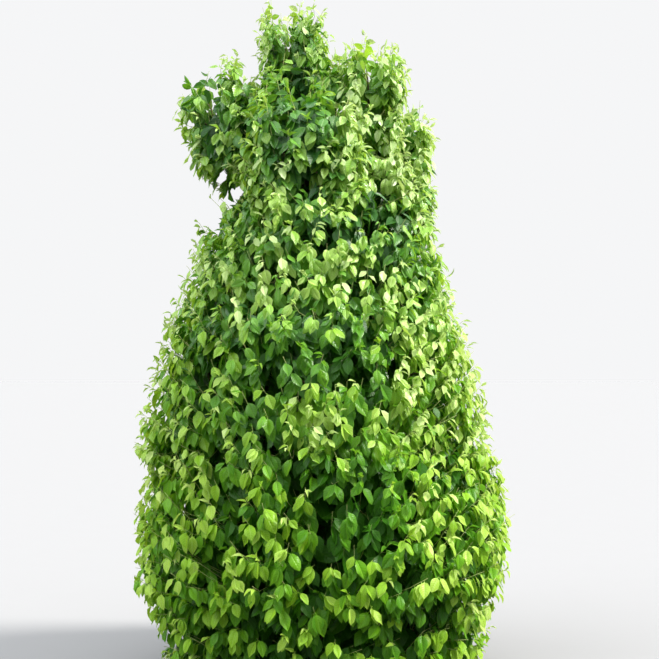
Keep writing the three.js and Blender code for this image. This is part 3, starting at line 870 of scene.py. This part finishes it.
# By group: leaf length, lean out of the crown, spread to the sides, stray, share of bare tips, and how
# much the leaves lean to the paler kinds: painted light, paler up the crown and darker low down
foliage = dict(zip(groups, tableOf(
    ("length", "out", "spread", "stray", "bare", "paintedPaleness"),
    (0.080, (0.08, 0.42), (0.10, 0.62), 0.14, 0.60, -0.15),
    (0.079, (0.08, 0.42), (0.12, 0.64), 0.16, 0.50, -0.14),
    (0.077, (0.08, 0.46), (0.15, 0.66), 0.18, 0.38, 0.01),
    (0.075, (0.08, 0.50), (0.18, 0.70), 0.21, 0.25, 0.24),
    (0.085, (0.08, 0.42), (0.12, 0.58), 0.19, 0.20, 0.12),
)))
leafHang = {  # how the leaves of every group hang; where there are two numbers, anything between them
    "apart": 0.010, "slip": (-0.006, 0.006), "sway": 0.1, "turn": 1.2, "waver": 0.4,
    "down": 0.88, "lift": (0.5, 1.5), "topLift": 0.65, "standOut": 0.35,
    "faceOut": 0.8, "faceUp": 0.6, "faceSide": 0.25, "size": (0.8, 1.18), "stalk": (0.10, 0.2),
    "width": (0.82, 1.06), "fold": (0.4, 1.0), "cup": (0.2, 0.7), "droop": (0.02, 0.3), "bend": 0.05,
    "phase": (0, 6.28), "shift": (-0.08, 0.08),
    "youngWidth": 0.62, "youngFold": 0.7, "youngDroop": 2, "plainSize": 1.03, "paleSmaller": 0.13,
}
# painted sunlight: how much paler the leaves are to the right, on the flanks and at the top; how shoots
# vary
sunlit = {"all": -0.05, "right": 0.10, "flanks": 0.20, "high": 0.45, "vary": 0.15, "varyMost": 0.3}
paintedLightPatches = [  # painted light and shade: paler and darker patches of the front, x, z and radius in the trunk's plane, how much paler
    (-0.12, 3.09, 0.22, -1), (-0.73, 3.16, 0.13, 0.35), (-0.56, 3.02, 0.16, -0.45),
    (-0.16, 3.36, 0.18, -0.15), (0.18, 3.12, 0.16, 0.75), (0.4, 3.1, 0.18, 0.85),
    (-0.7, 2.84, 0.11, 0.35), (-0.02, 2.82, 0.12, 0.3), (0.16, 2.82, 0.1, -0.25), (0.48, 2.82, 0.26, 1),
    (0.4, 2.47, 0.22, -0.95), (0.07, 2.47, 0.12, -0.35), (-0.46, 2.47, 0.14, -0.4),
    (-0.36, 2.22, 0.2, 0.9), (0.07, 2.22, 0.12, 0.45), (0.37, 2.22, 0.17, 1.1), (0.62, 2.24, 0.1, -0.4),
    (-0.55, 1.95, 0.15, -0.35), (-0.21, 1.95, 0.17, -0.65), (0.24, 1.95, 0.15, -0.95),
    (0.45, 1.95, 0.1, 0.4), (-0.22, 1.71, 0.26, -0.32), (0.22, 1.69, 0.2, -0.6), (0.66, 1.7, 0.28, 1.1),
    (0.01, 1.43, 0.19, 0.65), (0.47, 1.43, 0.19, 0.9), (-0.36, 1.42, 0.14, -0.35),
    (-0.76, 1.43, 0.13, -0.3), (0.31, 1.15, 0.18, -1.05), (-0.78, 1.16, 0.25, 0.5),
    (-0.13, 0.88, 0.13, 0.5), (0.14, 0.88, 0.14, -0.55), (0.38, 0.88, 0.13, -0.55),
    (0.6, 0.88, 0.15, 0.7), (-0.63, 0.62, 0.16, 0.6), (0.27, 0.62, 0.15, 0.35),
    (-0.62, 0.36, 0.13, -0.4), (0.14, 0.36, 0.11, 0.4), (0.5, 0.36, 0.2, -0.6),
    (0.64, 0.36, 0.12, -0.4), (0.86, 0.36, 0.11, 0.5),
]


def shootPaths(tips, outs, arms, rng):
    # each shoot leaves the nearest arm along it, and turns out of the crown and upwards
    points = arms.reshape(-1, 3)
    ways = unit(np.gradient(arms, axis=1)).reshape(-1, 3)
    usable = np.tile(np.arange(arms.shape[1]) >= arm["firstStep"], len(arms))
    points, ways = points[usable], ways[usable]
    top = np.clip(outs[:, 2], 0, 1)[:, None]
    wander = rng.normal(0, shoot["wander"], tips.shape)
    way = unit(outs * (1 - 0.5 * top) + upward * (shoot["rise"] + 0.5 * top) + wander)
    aim = tips - way * shoot["leafy"] - outs * shoot["inwards"]
    near = np.linalg.norm(aim[:, None] - points[None], axis=2).argmin(1)
    starts = points[near]
    gap = np.linalg.norm(tips - starts, axis=1)[:, None]
    first = starts + ways[near] * gap * 0.3
    second = tips - way * np.minimum(gap * 0.5, shoot["leafy"])
    controls = (starts, first, second, tips)
    shares = np.tile(np.linspace(0, 1, shoot["steps"] + 1), (len(tips), 1))
    return bezier(controls, shares), controls, gap[:, 0]


def paintedLightAt(points):
    # painted light and shade of the patches, fading out from each middle, on the front only
    x, z = seenAt(points)
    paintedPaleness = np.zeros(len(points))
    for patchX, patchZ, radius, change in paintedLightPatches:
        away = np.hypot(x - patchX, z - patchZ) / radius
        paintedPaleness += change * np.exp(-away ** 2) * (points[:, 1] < 0)
    return paintedPaleness


def sunlitAt(tips, paintedPaleness, rng):
    # young pale leaves at the very top; painted sunlight, paler to the right, on the flanks and on top;
    # the painted light and shade of the patches; and a whole shoot paler or darker than the next
    x = tips[:, 0]
    sunny = paintedPaleness + sunlit["all"] + sunlit["right"] * x + sunlit["flanks"] * x ** 2
    sunny = sunny + sunlit["high"] * highUp(tips[:, 2])
    vary = np.clip(rng.normal(0, sunlit["vary"], len(tips)), -sunlit["varyMost"], sunlit["varyMost"])
    return sunny + paintedLightAt(tips) + vary


def picked(leaves, keep):
    return {key: values[keep] for key, values in leaves.items()}


def joined(parts):
    return {key: np.concatenate([part[key] for part in parts]) for key in parts[0]}


def leavesOf(mass, layer, tips, outs, controls, gap, rng):
    # near pairs that hang tip down to both sides, and small young leaves at the tip
    found = []
    count = len(tips)
    hang = {**leafHang, **foliage[mass["group"]]}
    stray = hang["stray"] + layer["stray"]
    flat = np.array([1.0, 1.0, 0.0])
    top = np.clip(outs[:, 2], 0, 1)[:, None] ** 2
    sunny = sunlitAt(tips, hang["paintedPaleness"], rng)
    paleSize = hang["plainSize"] - hang["paleSmaller"] * np.clip(sunny, -0.4, 1)
    bare = rng.random(count) < hang["bare"]  # some shoots have no small leaves at their tips

    def vary(name):
        return rng.uniform(*hang[name], count)

    for order, node in enumerate(nodesOnShoot[: layer["nodes"]]):
        young = order == 0
        shared = rng.random(count)
        for number in range(3 if young else 2):
            back = node["back"] + hang["apart"] * number + vary("slip")
            share = np.clip(1 - back / gap, 0.05, 1)[:, None]
            root = bezier(controls, share)[:, 0]
            # out of the crown at its sides, every way on top of it
            turn = hang["turn"] * top * rng.normal(0, 1, tips.shape)
            level = unit(outs * flat + turn * flat + 1e-6)
            side = np.stack([-level[:, 1], level[:, 0], 0 * level[:, 0]], 1)
            sign = (1, -1, 0)[number] * np.where(rng.random(count) < 0.5, 1, -1)
            spread = sign * vary("spread") + rng.normal(0, hang["sway"], count)
            outwards = vary("out") + hang["standOut"] * node["stand"]
            rise = (node["stand"] + hang["topLift"] * top[:, 0]) * vary("lift") - hang["down"]
            along = unit(level * outwards[:, None] + side * spread[:, None] + upward * rise[:, None]
                         + rng.normal(0, hang["waver"] * stray, (count, 3)))
            face = (level * hang["faceOut"] + upward * hang["faceUp"]
                    + side * (hang["faceSide"] * sign)[:, None])
            face = face + rng.normal(0, stray, (count, 3))
            face = unit(face - along * np.sum(face * along, 1, keepdims=True))
            length = hang["length"] * node["size"] * layer["size"] * vary("size")
            length = length * sizeAt(tips[:, 2]) * paleSize
            stalkWay = unit(side * spread[:, None] * 1.4 + level * 0.5 + along * 0.5)
            base = root + stalkWay * (length * vary("stalk"))[:, None]
            chances = node["kinds"] if layer["name"] == "outer" else shadeKinds[layer["name"]]
            pick = np.clip(0.1 + 0.8 * shared + vary("shift") + sunny, 0, 0.999)
            kind = (pick[:, None] >= np.cumsum(chances)[None, :-1]).sum(1)
            kind = np.minimum(kind, 5 if order < 2 else 4)  # older leaves are never of the palest kind
            made = {
                "root": root, "base": base, "along": along, "face": face, "length": length,
                "width": vary("width"), "fold": vary("fold"), "cup": vary("cup"), "droop": vary("droop"),
                "bend": rng.normal(0, hang["bend"], count), "phase": vary("phase"),
                "kind": np.where(bare & young, -1, kind),
            }
            if young:
                made["width"] *= hang["youngWidth"]
                made["fold"] += hang["youngFold"]
                made["droop"] *= hang["youngDroop"]
            found.append(made)
    leaves = joined(found)
    hollowPaintedDark = inHollowPaintedDark(placeOn(leaves, 0.5))
    keep = leaves["kind"] >= 0
    if layer["name"] == "outer":
        keep &= ~hollowPaintedDark
    leaves["kind"] = np.where(hollowPaintedDark, 0, leaves["kind"])  # painted shade: the leaves left in a hollow get the darkest kind
    return picked(leaves, keep)


def placeOn(leaves, share):
    return leaves["base"] + leaves["along"] * leaves["length"][:, None] * share


def inReach(leaves, past=0.012, lowest=0.015):
    # the leaves that stay in the frame's box, above z 0 and out of the windows
    tip = placeOn(leaves, 1)
    low, high = (np.array(corner) for corner in cadBox)
    stays = np.all((tip > low - past) & (tip < high + past), axis=1)
    stays &= tip[:, 2] - leaves["droop"] * leaves["length"] > lowest
    return stays & ~within(placeOn(leaves, 0.5), windows)


def layersOf(mass):
    if mass["name"] == "between":
        return headLayers[:2]
    if mass["name"] == "deepInside":
        return [{**headLayers[2], "share": 1.0}]
    return headLayers if mass["head"] else layers


firstSeed = 100


def growGroup(group):
    members = [mass for mass in masses if mass["group"] == group]
    nodes = ["foliage_" + mass["name"] for mass in members]
    armPaths, shootPathsHere, leafParts = [], [], []
    for mass in members + (between + deepInside if group == "Heads" else []):
        rng = np.random.default_rng(firstSeed + mass["seed"])
        if "curve" in mass:
            arms = armsOf(mass, rng)
            armPaths.append(arms)
        else:
            arms = np.concatenate(armPaths)  # what closes up the crown grows from any arm
        places = headPlaces if mass["head"] else tierPlaces
        for layer in layersOf(mass):
            pitch = layer["pitch"] * foliage[mass["group"]]["length"]
            if mass["head"]:
                pitch *= float(sizeAt(mass["at"][2]))
            tips, outs = places(mass, pitch, layer["share"], rng)
            keep = (rng.random(len(tips)) > layer["skip"]) & ~within(tips, windows)
            if layer["name"] == "outer":
                keep &= ~inHollowPaintedDark(tips - shoot["halfLeaf"] * upward)
            tips, outs = tips[keep], outs[keep]
            if len(tips) == 0:
                continue
            paths, controls, gap = shootPaths(tips, outs, arms, rng)
            shootPathsHere.append(paths)
            leafParts.append(leavesOf(mass, layer, tips, outs, controls, gap, rng))
    shoots = np.concatenate(shootPathsHere)
    twigs = tubesMesh("twigs" + group, np.concatenate(armPaths), arm)
    finishPiece("twigs" + group, twigs, twigBark, nodes)
    finishPiece("shoots" + group, tubesMesh("shoots" + group, shoots, shoot), shootBark, nodes)
    leaves = joined(leafParts)
    leaves = picked(leaves, inReach(leaves))
    for order, (kindName, *_, slotName) in enumerate(leafKinds):
        chosen = leaves["kind"] == order
        if not chosen.any():
            continue
        name = kindName + "Leaves" + group
        template = shadedBlade if kindName in ("deep", "young") else openBlade
        mesh = leavesMesh(name, picked(leaves, chosen), template)
        finishPiece(name, mesh, leafMaterials[kindName + group], nodes)
    print(group, "has", len(leaves["kind"]), "leaves on", len(shoots), "shoots")


for group in groups:
    growGroup(group)

# Floor: one wide pale disc, as pale as the backdrop far behind it
floorDisc = {
    "middle": 9.0, "rim": 300.0, "steps": 12, "around": 96,
    "colour": (0.234, 0.2385, 0.2455), "speckle": (0.21, 0.21, 0.214),
}


def floorPiece():
    bm = bmesh.new()
    shares = np.arange(floorDisc["steps"] + 1) / floorDisc["steps"]
    radii = [0, *(floorDisc["middle"] + (floorDisc["rim"] - floorDisc["middle"]) * shares)]
    profile = [bm.verts.new((radius, 0, 0)) for radius in radii]
    edges = [bm.edges.new(pair) for pair in zip(profile, profile[1:])]
    bmesh.ops.spin(bm, geom=profile + edges, cent=(0, 0, 0), axis=(0, 0, 1), angle=2 * math.pi,
                   steps=floorDisc["around"], use_merge=True)
    bmesh.ops.remove_doubles(bm, verts=bm.verts, dist=1e-5)
    material, tree = newMaterial("floorPaint")
    speckles = noiseNode(tree, newNode(tree, "TexCoord")["Object"], 3, 3)
    share = rangeNode(tree, speckles, 0.3, 0.7, 0, 0.04)
    tone = mixNode(tree, share, floorDisc["colour"], floorDisc["speckle"])
    look = {"Base Color": tone, "Roughness": 0.9, "Specular IOR Level": 0.1}
    newNode(tree, "OutputMaterial", {0: newNode(tree, "BsdfPrincipled", look)[0]})
    floor = newPiece("floor", meshFrom("floor", bm), material)
    floor.visible_diffuse = False  # no light from below, so the foot of the crown stays dark
    floor.visible_shadow = False


floorPiece()

# Light: a soft sun high on the right, a weak one on the left and a pale dome, brightest overhead
suns = [  # name, degrees from straight right towards the viewer and above level, power, softness, colour
    ("sun", 9, 46, 6.9, 14, (1.0, 0.95, 0.89)),
    ("fill", 158, 44, 1.8, 50, (0.96, 0.98, 1.0)),
]
lampDistance = 8.0
domeSettings = {
    "under": 0.06, "rise": (0.1, 0.95), "power": (0.45, 2.6),
    "backdrop": 0.93, "colour": (0.985, 0.99, 1.0),
}


def sunLamp(name, turn, height, power, softness, colour):
    turn, height = math.radians(turn), math.radians(height)
    data = bpy.data.lights.new(name, "SUN")
    data.energy = power
    data.angle = math.radians(softness)
    data.color = colour
    level = math.cos(height)
    way = Vector((math.cos(turn) * level, -math.sin(turn) * level, math.sin(height)))
    made = newObject(name, data)
    made.location = way * lampDistance
    made.rotation_euler = way.to_track_quat("Z", "Y").to_euler()


for settings in suns:
    sunLamp(*settings)


def paleDome(name, under, rise, power, backdrop, colour):
    # its light grows with height; the camera sees an even backdrop instead
    world = bpy.data.worlds.new(name)
    world.use_nodes = True
    tree = world.node_tree
    dome = tree.nodes["Background"].inputs
    dome["Color"].default_value = (*colour, 1)
    height = newNode(tree, "SeparateXYZ", {0: newNode(tree, "TexCoord")["Generated"]})[2]
    above = mathNode(tree, "GREATER_THAN", height, 0.0)
    light = mixNumbers(tree, above, under, rangeNode(tree, height, *rise, *power))
    seen = newNode(tree, "LightPath")["Is Camera Ray"]
    tree.links.new(mixNumbers(tree, seen, light, backdrop), dome["Strength"])
    return world


bpy.context.scene.world = paleDome("dome", **domeSettings)
bpy.context.scene.view_settings.view_transform = "Standard"
print("floor and light set")
